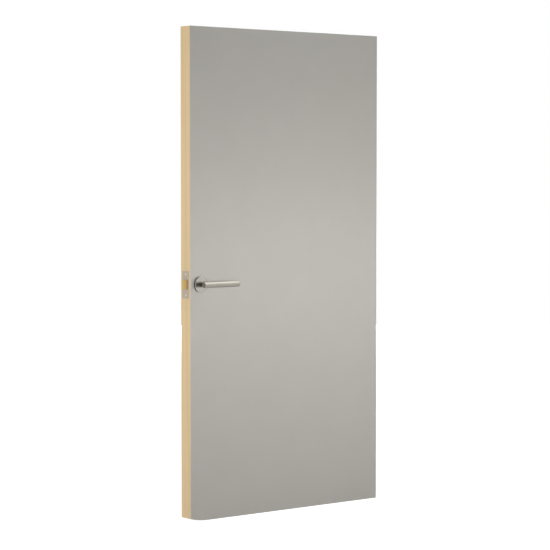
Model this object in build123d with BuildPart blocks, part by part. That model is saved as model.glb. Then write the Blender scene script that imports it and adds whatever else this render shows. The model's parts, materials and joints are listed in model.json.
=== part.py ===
from build123d import *
from math import radians, tan
import os

# A wide flush interior door leaf: laminate faces on a framed core, timber lippings on both long
# edges, a latch in the lock edge and a straight lever on a round rose on each face.
# Millimetres. X runs across the leaf from the lock edge to the hinge edge, Y from the front face
# to the back face and Z up. The origin is at the foot of the hinge edge, in the middle of its
# thickness.

# Leaf
leaf_width = 1020
leaf_height = 2040
leaf_thickness = 65
laminate_thickness = 1
laminate_arris = 0.5
skin_thickness = 6
lipping_width = 10
stile_width = 90
rail_height = 110
toe_length = 90
toe_rise = 12

# Hinge seats in the hinge edge, open to the back face, for 100 mm butt hinges
hinge_length = 100
hinge_leaf_width = 31
hinge_leaf_thickness = 3
top_hinge_from_top = 150
bottom_hinge_from_bottom = 225
hinge_screw_spacing_y = 14
hinge_screw_spacing_z = 70
hinge_screw_edge = 7
hinge_pilot_radius = 1.5
hinge_pilot_depth = 32

# Latch
handle_height = 980
backset = 50
faceplate_width = 48
faceplate_height = 114
faceplate_thickness = 3
faceplate_corner_radius = 1.5
faceplate_screw_spacing = 86
screw_head_diameter = 9.5
screw_shank_diameter = 4.5
screw_length = 32
countersink_angle = 82
screw_recess_width = 1.2
screw_recess_length = 5.5
screw_recess_depth = 1.6
bolt_width = 30
bolt_height = 38
bolt_throw = 11
bolt_bevel_start = 1
bolt_nose = 5
bolt_nose_fillet = 1.5
bolt_head_length = 18
case_wall = 1.5
case_height = 64
case_beyond_spindle = 28
tail_thickness = 6
tail_plate = 4
tail_bar_inner = 20
tail_bar_outer = 25
lug_width = 5
lug_reach = 10.5
follower_diameter = 20
follower_journal_diameter = 16
follower_arm_width = 6
follower_arm_reach = 16.5
spindle_side = 8
spindle_bore_radius = 11

# Lever furniture, measured outwards from the face that it is fixed to
rose_diameter = 66
rose_projection = 10
rose_plate_thickness = 2
rose_edge_fillet = 1
rose_base_inset = 0.5
bush_diameter = 26
bush_projection = 11
neck_diameter = 18
neck_start = 1
socket_depth = 22
bar_diameter = 24
bar_wall = 2
bar_stand_off = 40
bar_heel = 12
bar_reach = 169
cap_thickness = 2.5
cap_spigot_length = 6
cap_edge_chamfer = 1

# Clearances
running_gap = 0.3
fitting_gap = 0.1

# Places worked out from the sizes above
half_leaf = leaf_thickness / 2
half_core = half_leaf - laminate_thickness - skin_thickness
half_lipping = half_leaf - laminate_thickness
lock_face = -leaf_width
lock_lipping_inner = lock_face + lipping_width
lock_stile_inner = lock_lipping_inner + stile_width
hinge_stile_outer = -lipping_width
hinge_stile_inner = hinge_stile_outer - stile_width
spindle_x = lock_face + backset
half_case = bolt_width / 2 + running_gap + case_wall
faceplate_inner = lock_face + faceplate_thickness
case_end = spindle_x + case_beyond_spindle
top_hinge_z = leaf_height - top_hinge_from_top - hinge_length / 2
bottom_hinge_z = bottom_hinge_from_bottom + hinge_length / 2
hinge_heights = [bottom_hinge_z, (bottom_hinge_z + top_hinge_z) / 2, top_hinge_z]
hinge_seat_y = half_leaf - hinge_leaf_width / 2
hinge_screw_y = half_leaf - hinge_leaf_width + hinge_screw_edge + hinge_screw_spacing_y / 2

os.makedirs("parts", exist_ok=True)


def elevation(y):
    """The leaf's elevation at depth y, X across and Z up. Extrusion runs towards the front."""
    return Plane.XZ.offset(-y)


def across(x):
    """A section across the leaf's thickness at x, Y across and Z up. Extrusion runs towards +X."""
    return Plane.YZ.offset(x)


def keep(piece, name):
    """Names a finished piece and writes it."""
    piece.part.label = name
    export_step(piece.part, f"parts/{name}.step")


def upright_rectangle(x_low, x_high, z_low, z_high):
    """A rectangle in the elevation between two heights, trimmed to the leaf's outline."""
    with Locations(((x_low + x_high) / 2, (z_low + z_high) / 2)):
        Rectangle(x_high - x_low, z_high - z_low)
    add(leaf_outline.sketch, mode=Mode.INTERSECT)


def cut_spindle_bore():
    """The round hole for the spindle, in an elevation sketch."""
    with Locations((spindle_x, handle_height)):
        Circle(spindle_bore_radius, mode=Mode.SUBTRACT)


# Outline of the leaf in elevation. Its lower corner at the lock edge is eased in a long arc.
with BuildSketch(Plane.XY) as leaf_outline:
    with BuildLine():
        Polyline(
            (lock_face + toe_length, 0),
            (0, 0),
            (0, leaf_height),
            (lock_face, leaf_height),
            (lock_face, toe_rise),
        )
        TangentArc((lock_face + toe_length, 0), (lock_face, toe_rise), tangent=(-1, 0))
    make_face()


# Cutters shared by several pieces: the latch pocket with the faceplate's pilot holes, the hinge
# seats and the hinges' pilot holes
with BuildPart() as latch_pocket:
    with BuildSketch(across(faceplate_inner)):
        with Locations((0, handle_height)):
            Rectangle(2 * half_case + 2 * fitting_gap, case_height + 2 * fitting_gap)
    extrude(amount=case_end + fitting_gap - faceplate_inner)
    with BuildSketch(across(faceplate_inner)):
        with Locations((0, handle_height)):
            with GridLocations(0, faceplate_screw_spacing, 1, 2):
                Circle(screw_shank_diameter / 2 + fitting_gap)
    extrude(amount=screw_length - faceplate_thickness)

with BuildPart() as hinge_seats:
    with BuildSketch(across(0)):
        for z in hinge_heights:
            with Locations((hinge_seat_y, z)):
                Rectangle(hinge_leaf_width, hinge_length)
    extrude(amount=-hinge_leaf_thickness)

with BuildPart() as hinge_pilot_holes:
    with BuildSketch(across(-hinge_leaf_thickness)):
        for z in hinge_heights:
            with Locations((hinge_screw_y, z)):
                with GridLocations(hinge_screw_spacing_y, hinge_screw_spacing_z, 2, 2):
                    Circle(hinge_pilot_radius)
    extrude(amount=-hinge_pilot_depth)


# Laminate faces, one thin sheet each, with the outer arris eased all round
def laminate(y_outer, outward):
    """A sheet whose outer face is at y_outer. outward is -1 on the front and 1 on the back."""
    with BuildPart() as sheet:
        with BuildSketch(elevation(max(y_outer, y_outer - outward * laminate_thickness))):
            add(leaf_outline.sketch)
            cut_spindle_bore()
        extrude(amount=laminate_thickness)
        outer_face = sheet.faces().filter_by(Axis.Y).sort_by(Axis.Y)[0 if outward < 0 else -1]
        chamfer(outer_face.outer_wire().edges(), length=laminate_arris)
    return sheet


front_laminate = laminate(-half_leaf, -1)
keep(front_laminate, "front_laminate")

with BuildPart() as back_laminate:
    add(laminate(half_leaf, 1).part)
    add(hinge_seats.part, mode=Mode.SUBTRACT)
keep(back_laminate, "back_laminate")

# Facing boards under the laminates, between the lippings
for side, y_high in (("front", -half_core), ("back", half_lipping)):
    with BuildPart() as skin:
        with BuildSketch(elevation(y_high)):
            upright_rectangle(lock_lipping_inner, hinge_stile_outer, 0, leaf_height)
            cut_spindle_bore()
        extrude(amount=skin_thickness)
    keep(skin, f"{side}_skin")

# Lippings
with BuildPart() as lock_lipping:
    with BuildSketch(elevation(half_lipping)):
        upright_rectangle(lock_face, lock_lipping_inner, 0, leaf_height)
    extrude(amount=2 * half_lipping)
    with BuildSketch(across(lock_face)):
        with Locations((0, handle_height)):
            RectangleRounded(faceplate_width, faceplate_height, faceplate_corner_radius)
    extrude(amount=faceplate_thickness, mode=Mode.SUBTRACT)
    add(latch_pocket.part, mode=Mode.SUBTRACT)
keep(lock_lipping, "lock_lipping")

with BuildPart() as hinge_lipping:
    with BuildSketch(elevation(half_lipping)):
        upright_rectangle(hinge_stile_outer, 0, 0, leaf_height)
    extrude(amount=2 * half_lipping)
    add(hinge_seats.part, mode=Mode.SUBTRACT)
    add(hinge_pilot_holes.part, mode=Mode.SUBTRACT)
keep(hinge_lipping, "hinge_lipping")

# Frame and core
with BuildPart() as lock_stile:
    with BuildSketch(elevation(half_core)):
        upright_rectangle(lock_lipping_inner, lock_stile_inner, 0, leaf_height)
        cut_spindle_bore()
    extrude(amount=2 * half_core)
    add(latch_pocket.part, mode=Mode.SUBTRACT)
keep(lock_stile, "lock_stile")

with BuildPart() as hinge_stile:
    with BuildSketch(elevation(half_core)):
        upright_rectangle(hinge_stile_inner, hinge_stile_outer, 0, leaf_height)
    extrude(amount=2 * half_core)
    add(hinge_pilot_holes.part, mode=Mode.SUBTRACT)
keep(hinge_stile, "hinge_stile")

for name, z_low, z_high in (
    ("bottom_rail", 0, rail_height),
    ("core", rail_height, leaf_height - rail_height),
    ("top_rail", leaf_height - rail_height, leaf_height),
):
    with BuildPart() as board:
        with BuildSketch(elevation(half_core)):
            upright_rectangle(lock_stile_inner, hinge_stile_inner, z_low, z_high)
        extrude(amount=2 * half_core)
    keep(board, name)


# Latch faceplate, flush in the lock edge, with countersunk screws
with BuildPart() as latch_faceplate:
    with BuildSketch(across(lock_face)):
        with Locations((0, handle_height)):
            RectangleRounded(faceplate_width, faceplate_height, faceplate_corner_radius)
            Rectangle(
                bolt_width + 2 * running_gap, bolt_height + 2 * running_gap, mode=Mode.SUBTRACT
            )
    extrude(amount=faceplate_thickness)
    with Locations(Plane((lock_face, 0, handle_height), x_dir=(0, 1, 0), z_dir=(-1, 0, 0))):
        with GridLocations(0, faceplate_screw_spacing, 1, 2):
            CounterSinkHole(
                screw_shank_diameter / 2 + fitting_gap,
                screw_head_diameter / 2 + fitting_gap,
                counter_sink_angle=countersink_angle,
            )
keep(latch_faceplate, "latch_faceplate")


def faceplate_screw(z):
    """A countersunk screw with a cross recess, its head flush with the faceplate."""
    axis_plane = Plane((lock_face, 0, z), x_dir=(1, 0, 0), z_dir=(0, -1, 0))
    head_taper = tan(radians(countersink_angle / 2))
    head_depth = (screw_head_diameter - screw_shank_diameter) / 2 / head_taper
    with BuildPart() as screw:
        with BuildSketch(axis_plane):
            with BuildLine():
                Polyline(
                    (0, 0),
                    (0, screw_head_diameter / 2),
                    (head_depth, screw_shank_diameter / 2),
                    (screw_length - screw_shank_diameter, screw_shank_diameter / 2),
                    (screw_length, 0),
                    close=True,
                )
            make_face()
        revolve(axis=Axis((lock_face, 0, z), (1, 0, 0)))
        with BuildSketch(Plane((lock_face, 0, z), x_dir=(0, 1, 0), z_dir=(-1, 0, 0))):
            Rectangle(screw_recess_length, screw_recess_width, rotation=45)
            Rectangle(screw_recess_length, screw_recess_width, rotation=-45)
        extrude(amount=-screw_recess_depth, mode=Mode.SUBTRACT)
    return screw


for place, z in (
    ("top", handle_height + faceplate_screw_spacing / 2),
    ("bottom", handle_height - faceplate_screw_spacing / 2),
):
    keep(faceplate_screw(z), f"faceplate_screw_{place}")

# Latch case: a shell that is open towards the faceplate, with a bearing hole in each side
with BuildPart() as latch_case:
    with BuildSketch(across(faceplate_inner)):
        with Locations((0, handle_height)):
            Rectangle(2 * half_case, case_height)
    extrude(amount=case_end - faceplate_inner)
    with BuildSketch(across(faceplate_inner)):
        with Locations((0, handle_height)):
            Rectangle(2 * (half_case - case_wall), case_height - 2 * case_wall)
    extrude(amount=case_end - case_wall - faceplate_inner, mode=Mode.SUBTRACT)
    with BuildSketch(elevation(half_case)):
        with Locations((spindle_x, handle_height)):
            Circle(follower_journal_diameter / 2 + running_gap)
    extrude(amount=2 * half_case, mode=Mode.SUBTRACT)
keep(latch_case, "latch_case")

# Latch bolt: a head bevelled on its front side, and a forked tail round the follower
head_back = lock_face + bolt_head_length
with BuildPart() as latch_bolt:
    with BuildSketch(Plane.XY.offset(handle_height - bolt_height / 2)):
        with BuildLine():
            Polyline(
                (head_back, -bolt_width / 2),
                (lock_face - bolt_bevel_start, -bolt_width / 2),
                (lock_face - bolt_throw, bolt_width / 2 - bolt_nose),
                (lock_face - bolt_throw, bolt_width / 2),
                (head_back, bolt_width / 2),
                close=True,
            )
        make_face()
    extrude(amount=bolt_height)
    fillet(latch_bolt.edges().filter_by(Axis.Z).group_by(Axis.X)[0], radius=bolt_nose_fillet)
    with BuildSketch(elevation(tail_thickness / 2)):
        with Locations((head_back + tail_plate / 2, handle_height)):
            Rectangle(tail_plate, 2 * tail_bar_outer)
        tail_end = spindle_x + follower_arm_width / 2 + running_gap + lug_width
        for up in (1, -1):
            bar_z = handle_height + up * (tail_bar_inner + tail_bar_outer) / 2
            with Locations(((head_back + tail_end) / 2, bar_z)):
                Rectangle(tail_end - head_back, tail_bar_outer - tail_bar_inner)
            lug_z = handle_height + up * (lug_reach + tail_bar_outer) / 2
            with Locations((tail_end - lug_width / 2, lug_z)):
                Rectangle(lug_width, tail_bar_outer - lug_reach)
    extrude(amount=tail_thickness)
keep(latch_bolt, "latch_bolt")

# Follower: the hub that the spindle turns, with an arm up and down for the bolt's fork
with BuildPart() as follower:
    with BuildSketch(elevation(half_case)):
        with Locations((spindle_x, handle_height)):
            Circle(follower_journal_diameter / 2)
    extrude(amount=2 * half_case)
    half_hub = half_case - case_wall - running_gap
    with BuildSketch(elevation(half_hub)):
        with Locations((spindle_x, handle_height)):
            Circle(follower_diameter / 2)
    extrude(amount=2 * half_hub)
    with BuildSketch(elevation(tail_thickness / 2)):
        with Locations((spindle_x, handle_height)):
            Rectangle(follower_arm_width, 2 * follower_arm_reach)
    extrude(amount=tail_thickness)
    with BuildSketch(elevation(half_case)):
        with Locations((spindle_x, handle_height)):
            Rectangle(spindle_side, spindle_side)
    extrude(amount=2 * half_case, mode=Mode.SUBTRACT)
keep(follower, "follower")

# Spindle: the square bar through the follower into both necks
spindle_half_length = half_leaf + neck_start + socket_depth
with BuildPart() as spindle:
    with BuildSketch(elevation(spindle_half_length)):
        with Locations((spindle_x, handle_height)):
            Rectangle(spindle_side, spindle_side)
    extrude(amount=2 * spindle_half_length)
keep(spindle, "spindle")

# Lever furniture, alike on both faces
for side, outward in (("front", -1), ("back", 1)):
    face_plane = Plane(
        (spindle_x, outward * half_leaf, handle_height), x_dir=(1, 0, 0), z_dir=(0, outward, 0)
    )
    bar_y = outward * (half_leaf + bar_stand_off)
    bar_low = spindle_x - bar_heel
    bar_high = spindle_x + bar_reach

    with BuildPart() as rose_base:
        with BuildSketch(face_plane):
            Circle(rose_diameter / 2 - rose_base_inset)
            Circle(bush_diameter / 2 + fitting_gap, mode=Mode.SUBTRACT)
        extrude(amount=rose_projection - rose_plate_thickness)
    keep(rose_base, f"{side}_rose_base")

    with BuildPart() as rose_cover:
        with BuildSketch(face_plane.offset(rose_projection - rose_plate_thickness)):
            Circle(rose_diameter / 2)
        extrude(amount=rose_plate_thickness)
        rim_faces = rose_cover.faces().filter_by(Axis.Y).sort_by(Axis.Y, reverse=outward < 0)
        fillet(rim_faces[-1].edges(), radius=rose_edge_fillet)
        with BuildSketch(face_plane):
            Circle(bush_diameter / 2 + fitting_gap)
        extrude(amount=rose_projection, mode=Mode.SUBTRACT)
    keep(rose_cover, f"{side}_rose_cover")

    with BuildPart() as bush:
        with BuildSketch(face_plane):
            Circle(bush_diameter / 2)
            Circle(neck_diameter / 2 + running_gap, mode=Mode.SUBTRACT)
        extrude(amount=bush_projection)
    keep(bush, f"{side}_bush")

    with BuildPart() as neck:
        with BuildSketch(face_plane.offset(neck_start)):
            Circle(neck_diameter / 2)
        extrude(amount=bar_stand_off - neck_start)
        with BuildSketch(across(bar_low)):
            with Locations((bar_y, handle_height)):
                Circle(bar_diameter / 2 + fitting_gap)
        extrude(amount=bar_high - bar_low, mode=Mode.SUBTRACT)
        with BuildSketch(face_plane.offset(neck_start)):
            Rectangle(spindle_side, spindle_side)
        extrude(amount=socket_depth, mode=Mode.SUBTRACT)
    keep(neck, f"{side}_lever_neck")

    with BuildPart() as bar:
        with BuildSketch(across(bar_low + cap_thickness)):
            with Locations((bar_y, handle_height)):
                Circle(bar_diameter / 2)
                Circle(bar_diameter / 2 - bar_wall, mode=Mode.SUBTRACT)
        extrude(amount=bar_high - bar_low - 2 * cap_thickness)
    keep(bar, f"{side}_lever_bar")

    for end, outer_x, inward in (("heel", bar_low, 1), ("tip", bar_high, -1)):
        with BuildPart() as cap:
            with BuildSketch(across(outer_x)):
                with Locations((bar_y, handle_height)):
                    Circle(bar_diameter / 2)
            extrude(amount=inward * cap_thickness)
            end_faces = cap.faces().filter_by(Axis.X).sort_by(Axis.X, reverse=inward < 0)
            chamfer(end_faces[0].edges(), length=cap_edge_chamfer)
            with BuildSketch(across(outer_x + inward * cap_thickness)):
                with Locations((bar_y, handle_height)):
                    Circle(bar_diameter / 2 - bar_wall - fitting_gap)
            extrude(amount=inward * cap_spigot_length)
        keep(cap, f"{side}_lever_{end}_cap")
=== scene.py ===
import bpy
import json
import math
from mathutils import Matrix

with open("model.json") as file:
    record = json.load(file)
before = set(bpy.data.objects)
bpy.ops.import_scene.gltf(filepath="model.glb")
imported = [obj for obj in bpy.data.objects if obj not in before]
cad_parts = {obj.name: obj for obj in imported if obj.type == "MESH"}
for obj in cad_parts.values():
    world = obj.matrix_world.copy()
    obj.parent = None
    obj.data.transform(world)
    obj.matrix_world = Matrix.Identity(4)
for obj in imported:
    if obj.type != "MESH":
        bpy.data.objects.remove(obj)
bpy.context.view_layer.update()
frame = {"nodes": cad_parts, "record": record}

# Camera: fitted to the edges of the leaf in the photograph
CAMERA_PLACE = (-5.9576, -6.7321, 1.4306)
CAMERA_DOWN = 2.818
CAMERA_TURN = -38.781

camera_data = bpy.data.cameras.new("camera")
camera = bpy.data.objects.new("camera", camera_data)
bpy.context.scene.collection.objects.link(camera)
bpy.context.scene.camera = camera
camera_data.sensor_width = 36
camera_data.lens = 132.844
camera_data.clip_end = 200
camera.location = CAMERA_PLACE
camera.rotation_euler = (math.radians(90 - CAMERA_DOWN), 0, math.radians(CAMERA_TURN))


class Nodes:
    """A material's node tree, with short ways to add nodes and link them."""

    def __init__(self, name):
        self.material = bpy.data.materials.new(name)
        self.material.use_nodes = True
        self.tree = self.material.node_tree
        self.shader = self.tree.nodes["Principled BSDF"]
        self.place = self.add("ShaderNodeTexCoord").outputs["Object"]

    def add(self, kind, **settings):
        node = self.tree.nodes.new(kind)
        for key, value in settings.items():
            setattr(node, key, value)
        return node

    def link(self, output, socket):
        self.tree.links.new(output, socket)

    def feed(self, value, socket):
        """Links an output to a socket, or sets a number or a colour on it."""
        if hasattr(value, "links"):
            self.link(value, socket)
        else:
            socket.default_value = (*value, 1) if isinstance(value, tuple) else value

    def stretched(self, scale):
        """Object coordinates, in metres, scaled along each axis."""
        mapping = self.add("ShaderNodeMapping")
        mapping.inputs["Scale"].default_value = scale
        self.link(self.place, mapping.inputs["Vector"])
        return mapping.outputs["Vector"]

    def noise(self, vector, scale, detail, roughness=0.55, distortion=0.0):
        node = self.add("ShaderNodeTexNoise")
        node.inputs["Scale"].default_value = scale
        node.inputs["Detail"].default_value = detail
        node.inputs["Roughness"].default_value = roughness
        node.inputs["Distortion"].default_value = distortion
        self.link(vector, node.inputs["Vector"])
        return node.outputs["Fac"]

    def ramp(self, value, stops):
        """A colour ramp. stops is a list of (place, colour)."""
        node = self.add("ShaderNodeValToRGB")
        elements = node.color_ramp.elements
        while len(elements) < len(stops):
            elements.new(0.5)
        for element, (place, colour) in zip(elements, stops):
            element.position = place
            element.color = (*colour, 1)
        self.link(value, node.inputs["Fac"])
        return node.outputs["Color"]

    def spread(self, value, low, high, new_low, new_high):
        """Maps low to new_low and high to new_high."""
        node = self.add("ShaderNodeMapRange")
        node.inputs["From Min"].default_value = low
        node.inputs["From Max"].default_value = high
        node.inputs["To Min"].default_value = new_low
        node.inputs["To Max"].default_value = new_high
        self.link(value, node.inputs["Value"])
        return node.outputs["Result"]

    def mix(self, share, first, second, blend="MIX"):
        """Mixes two colours. Each argument is an output or a value."""
        node = self.add("ShaderNodeMix", data_type="RGBA", blend_type=blend)
        factor, first_colour, second_colour = node.inputs[0], node.inputs[6], node.inputs[7]
        self.feed(share, factor)
        self.feed(first, first_colour)
        self.feed(second, second_colour)
        return node.outputs[2]

    def tinted(self, colour, tint):
        return self.mix(1.0, colour, tint, "MULTIPLY")

    def bump(self, height, distance, strength=1.0):
        """distance is the height of the relief in metres."""
        node = self.add("ShaderNodeBump")
        node.inputs["Strength"].default_value = strength
        node.inputs["Distance"].default_value = distance
        self.link(height, node.inputs["Height"])
        return node.outputs["Normal"]

    def finish(self, colour, roughness, normal, **fixed):
        """Links what varies to the shader and sets what doesn't on its own sockets."""
        self.feed(colour, self.shader.inputs["Base Color"])
        self.feed(roughness, self.shader.inputs["Roughness"])
        self.feed(normal, self.shader.inputs["Normal"])
        for name, value in fixed.items():
            self.shader.inputs[name.replace("_", " ")].default_value = value
        return self.material


WHITE = (1.0, 1.0, 1.0)


def laminate():
    """Matt warm grey laminate: a faint cloud in its colour and a fine pebbled texture."""
    n = Nodes("laminate")
    cloud = n.noise(n.place, 9, 3)
    grain = n.noise(n.place, 900, 3, 0.6)
    colour = n.ramp(cloud, [(0.3, (0.466, 0.445, 0.408)), (0.7, (0.478, 0.457, 0.420))])
    fleck = n.ramp(grain, [(0.35, (0.97, 0.97, 0.97)), (0.65, WHITE)])
    roughness = n.spread(n.noise(n.place, 60, 3), 0.3, 0.7, 0.36, 0.42)
    relief = n.bump(grain, 0.00004)
    return n.finish(n.tinted(colour, fleck), roughness, relief, Specular_IOR_Level=0.5)


def long_grain(name, dark, light, pore, roughness):
    """Timber with its grain along Z: broad stripes, fine lines and short dark pores."""
    n = Nodes(name)
    stripes = n.noise(n.stretched((1, 1, 0.012)), 78, 3, 0.5, 0.3)
    lines = n.noise(n.stretched((1, 1, 0.02)), 1040, 4, 0.6)
    pores = n.noise(n.stretched((1, 1, 0.05)), 1820, 2, 0.5)
    drift = n.noise(n.stretched((1, 1, 0.25)), 7, 2)
    colour = n.ramp(stripes, [(0.32, dark), (0.68, light)])
    fine = n.ramp(lines, [(0.3, (0.93, 0.91, 0.87)), (0.7, WHITE)])
    colour = n.tinted(colour, fine)
    colour = n.mix(n.spread(drift, 0.35, 0.65, 0.0, 0.22), colour, (0.70, 0.50, 0.33))
    colour = n.mix(n.spread(pores, 0.66, 0.74, 0.0, 0.5), colour, pore)
    relief = n.bump(lines, 0.00008, 0.6)
    return n.finish(colour, n.spread(lines, 0.3, 0.7, *roughness), relief)


def fibreboard():
    """Raw fibreboard: felted brown fibres."""
    n = Nodes("facing_board")
    felt = n.noise(n.place, 700, 5, 0.65)
    lumps = n.noise(n.place, 90, 3)
    colour = n.ramp(felt, [(0.3, (0.25, 0.17, 0.10)), (0.7, (0.47, 0.35, 0.23))])
    tone = n.ramp(lumps, [(0.3, (0.9, 0.88, 0.85)), (0.7, WHITE)])
    return n.finish(n.tinted(colour, tone), 0.85, n.bump(felt, 0.0002))


def chipboard():
    """Raw core board: flat chips of several tones with dark gaps between them."""
    n = Nodes("core_board")
    chips = n.add("ShaderNodeTexVoronoi")
    chips.inputs["Scale"].default_value = 420
    n.link(n.stretched((0.35, 1, 0.35)), chips.inputs["Vector"])
    chip, edge = chips.outputs["Color"], chips.outputs["Distance"]
    tone = n.add("ShaderNodeSeparateColor")
    n.link(chip, tone.inputs["Color"])
    tones = [(0.0, (0.34, 0.22, 0.12)), (0.5, (0.55, 0.41, 0.25)), (1.0, (0.70, 0.55, 0.36))]
    colour = n.ramp(tone.outputs["Red"], tones)
    gap = n.ramp(edge, [(0.0, WHITE), (0.75, (0.55, 0.5, 0.45))])
    return n.finish(n.tinted(colour, gap), 0.85, n.bump(edge, 0.0003, 0.6))


def satin_metal(name, colour, roughness, along):
    """Brushed metal. along holds the scale along each axis, small along the brush marks."""
    n = Nodes(name)
    brush = n.noise(n.stretched(along), 1400, 3, 0.6)
    cloud = n.noise(n.place, 120, 2)
    dark = tuple(0.94 * c for c in colour)
    light = tuple(1.05 * c for c in colour)
    tint = n.ramp(brush, [(0.25, dark), (0.75, light)])
    rough = n.spread(cloud, 0.3, 0.7, roughness - 0.05, roughness + 0.05)
    return n.finish(tint, rough, n.bump(brush, 0.00001, 0.5), Metallic=1.0)


def brass_shaded_to_root():
    """Brass, lighter at the bolt's nose and darker towards its root: painted shade where the bolt
    leaves the faceplate.
    """
    nose, root = -1.031, -1.019
    n = Nodes("bolt_brass")
    axes = n.add("ShaderNodeSeparateXYZ")
    n.link(n.place, axes.inputs["Vector"])
    root_shade_ramp = n.spread(axes.outputs["X"], nose, root, 0.0, 1.0)
    # Darker towards the root: painted shade where the bolt meets the faceplate.
    tones = [(0.0, (0.60, 0.455, 0.19)), (0.45, (0.52, 0.37, 0.15)), (0.8, (0.36, 0.24, 0.085))]
    colour = n.ramp(root_shade_ramp, tones)
    brush = n.noise(n.stretched((1, 1, 0.05)), 1400, 3, 0.6)
    fine = n.ramp(brush, [(0.25, (0.93, 0.93, 0.92)), (0.75, WHITE)])
    return n.finish(n.tinted(colour, fine), 0.34, n.bump(brush, 0.00001, 0.5), Metallic=1.0)


def black_base_for_rim_shade():
    """Near-black coat on the bases of the roses: painted shade for the dark line along each
    rose's rim.
    """
    n = Nodes("rose_inner")
    fine = n.noise(n.place, 900, 3)
    colour = n.ramp(fine, [(0.3, (0.018, 0.017, 0.016)), (0.7, (0.032, 0.030, 0.028))])
    return n.finish(colour, 0.5, n.bump(fine, 0.00005), Specular_IOR_Level=0.25)


# Brush marks run along X on bars and roses, along Y on necks and along Z on the faceplate
ALONG_X = (0.03, 1, 1)
ALONG_Y = (1, 0.03, 1)
ALONG_Z = (1, 1, 0.03)
EVEN = (1, 1, 1)

metals = [
    ("plated_steel", (0.50, 0.50, 0.48), 0.38, EVEN),
    ("faceplate_metal", (0.46, 0.385, 0.31), 0.36, ALONG_Z),
    ("screw_metal", (0.68, 0.61, 0.52), 0.34, EVEN),
    ("rose_metal", (0.47, 0.45, 0.405), 0.21, ALONG_X),
    ("lever_metal", (0.345, 0.328, 0.288), 0.50, ALONG_X),
    # The necks get a near-black copy of the lever's metal: painted shade for their dark sides.
    ("neck_metal", (0.060, 0.047, 0.036), 0.35, ALONG_Y),
    # The end caps get a darker copy of the lever's metal: painted shade.
    ("cap_metal", (0.22, 0.20, 0.175), 0.40, EVEN),
]
looks = {
    "laminate": laminate(),
    "facing_board": fibreboard(),
    "edge_timber": long_grain(
        "edge_timber", (0.565, 0.435, 0.235), (0.68, 0.505, 0.285), (0.40, 0.27, 0.14),
        roughness=(0.42, 0.52)),
    "frame_timber": long_grain(
        "frame_timber", (0.62, 0.44, 0.24), (0.74, 0.57, 0.36), (0.42, 0.26, 0.12),
        roughness=(0.6, 0.7)),
    "core_board": chipboard(),
    # The rose bases are near-black: painted shade along the roses' rims.
    "rose_inner": black_base_for_rim_shade(),
    "bolt_brass": brass_shaded_to_root(),
}
for name, colour, roughness, along in metals:
    looks[name] = satin_metal(name, colour, roughness, along)
for piece in frame["record"]["subparts"]:
    for slot in frame["nodes"][piece["node"]].material_slots:
        slot.material = looks[piece["material_slot"]]


# Stage: a wide pale floor that runs into a white background
def add_node(tree, kind, **values):
    """Adds a node and sets its input sockets. A tuple is a colour."""
    node = tree.nodes.new(kind)
    for name, value in values.items():
        node.inputs[name].default_value = (*value, 1) if isinstance(value, tuple) else value
    return node


def seen_by_eye(tree):
    """1 for camera, glossy and transmission rays, 0 for the rest."""
    path = tree.nodes.new("ShaderNodeLightPath")
    total = path.outputs["Is Camera Ray"]
    for name in ("Is Glossy Ray", "Is Transmission Ray"):
        larger = tree.nodes.new("ShaderNodeMath")
        larger.operation = "MAXIMUM"
        tree.links.new(total, larger.inputs[0])
        tree.links.new(path.outputs[name], larger.inputs[1])
        total = larger.outputs[0]
    return total


def show_to_eye(tree, lights, seen, output):
    """Joins to the output a surface that gives light and another one that the eye sees."""
    swap = tree.nodes.new("ShaderNodeMixShader")
    tree.links.new(seen_by_eye(tree), swap.inputs[0])
    tree.links.new(lights.outputs[0], swap.inputs[1])
    tree.links.new(seen.outputs[0], swap.inputs[2])
    tree.links.new(swap.outputs[0], output.inputs["Surface"])


def floor_material():
    material = bpy.data.materials.new("floor")
    material.use_nodes = True
    tree = material.node_tree
    tree.nodes.clear()
    output = add_node(tree, "ShaderNodeOutputMaterial")
    lit = add_node(tree, "ShaderNodeBsdfDiffuse", Color=(0.49, 0.49, 0.49))
    shaded = add_node(tree, "ShaderNodeBsdfDiffuse", Color=(0.32, 0.32, 0.32))
    glow = add_node(tree, "ShaderNodeEmission", Strength=0.95)
    both = add_node(tree, "ShaderNodeAddShader")
    tree.links.new(shaded.outputs[0], both.inputs[0])
    tree.links.new(glow.outputs[0], both.inputs[1])
    show_to_eye(tree, lit, both, output)
    return material


bpy.ops.mesh.primitive_circle_add(vertices=96, radius=60, fill_type="NGON", location=(-0.5, 0, 0))
floor = bpy.context.object
floor.name = "floor"
floor.data.materials.append(floor_material())

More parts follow.
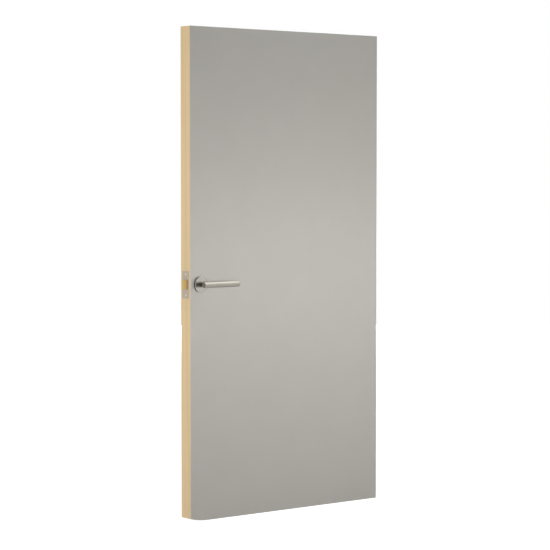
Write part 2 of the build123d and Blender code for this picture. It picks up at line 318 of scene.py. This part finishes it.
world = bpy.data.worlds.new("world")
bpy.context.scene.world = world
world.use_nodes = True
tree = world.node_tree
tree.nodes.clear()
output = add_node(tree, "ShaderNodeOutputWorld")
soft = add_node(tree, "ShaderNodeBackground", Color=(0.98, 0.99, 1.0), Strength=0.17)
white = add_node(tree, "ShaderNodeBackground", Color=WHITE, Strength=1.0)
show_to_eye(tree, soft, white, output)


def softbox(name, location, target, size, power, in_gloss=True, on_matt=True):
    """An area lamp that faces a point. It can be kept out of gloss or off matt surfaces."""
    data = bpy.data.lights.new(name, "AREA")
    data.shape = "RECTANGLE"
    data.size, data.size_y = size
    data.energy = power
    lamp = bpy.data.objects.new(name, data)
    bpy.context.scene.collection.objects.link(lamp)
    lamp.location = location
    direction = [t - l for t, l in zip(target, location)]
    yaw = math.atan2(direction[1], direction[0]) - math.pi / 2
    pitch = math.atan2(direction[2], math.hypot(direction[0], direction[1]))
    lamp.rotation_euler = (math.pi / 2 + pitch, 0, yaw)
    lamp.visible_camera = False
    lamp.visible_glossy = in_gloss
    lamp.visible_diffuse = on_matt


# Lamps for the matt surfaces. The front box is a thin line at the lever's height, and the camera
# box stands behind the camera, so that the shadows of the furniture fall behind it.
LEAF_MIDDLE = (-0.5, 0, 1.0)
matt_lamps = [
    ("camera_box", (-7.1, -8.2, 1.6), LEAF_MIDDLE, (3.6, 3.6), 145),
    ("front_box", (0.05, -1.4, 1.01), (0.05, 0, 1.01), (2.8, 0.1), 18.6),
    ("near_box", (-1.6, -1.6, 1.05), (-0.6, 0, 1.05), (0.6, 0.6), 3.8),
    ("left_box", (-4.2, 0.3, 1.0), (-1.0, 0, 1.0), (1.6, 3.2), 103),
    ("back_box", (6.1, 8.2, 1.6), LEAF_MIDDLE, (3.6, 3.6), 760),
]
for name, location, target, size, power in matt_lamps:
    softbox(name, location, target, size, power, in_gloss=False)

# Lamps for the highlights on the lever
LEVER = (-0.9, -0.07, 0.98)
softbox("gleam_high", (1.92, -0.07, 4.49), LEVER, (1.6, 1.2), 115, on_matt=False)
softbox("gleam_low", (1.92, -2.94, 2.99), LEVER, (1.6, 1.2), 25, on_matt=False)

bpy.context.scene.view_settings.view_transform = "Standard"
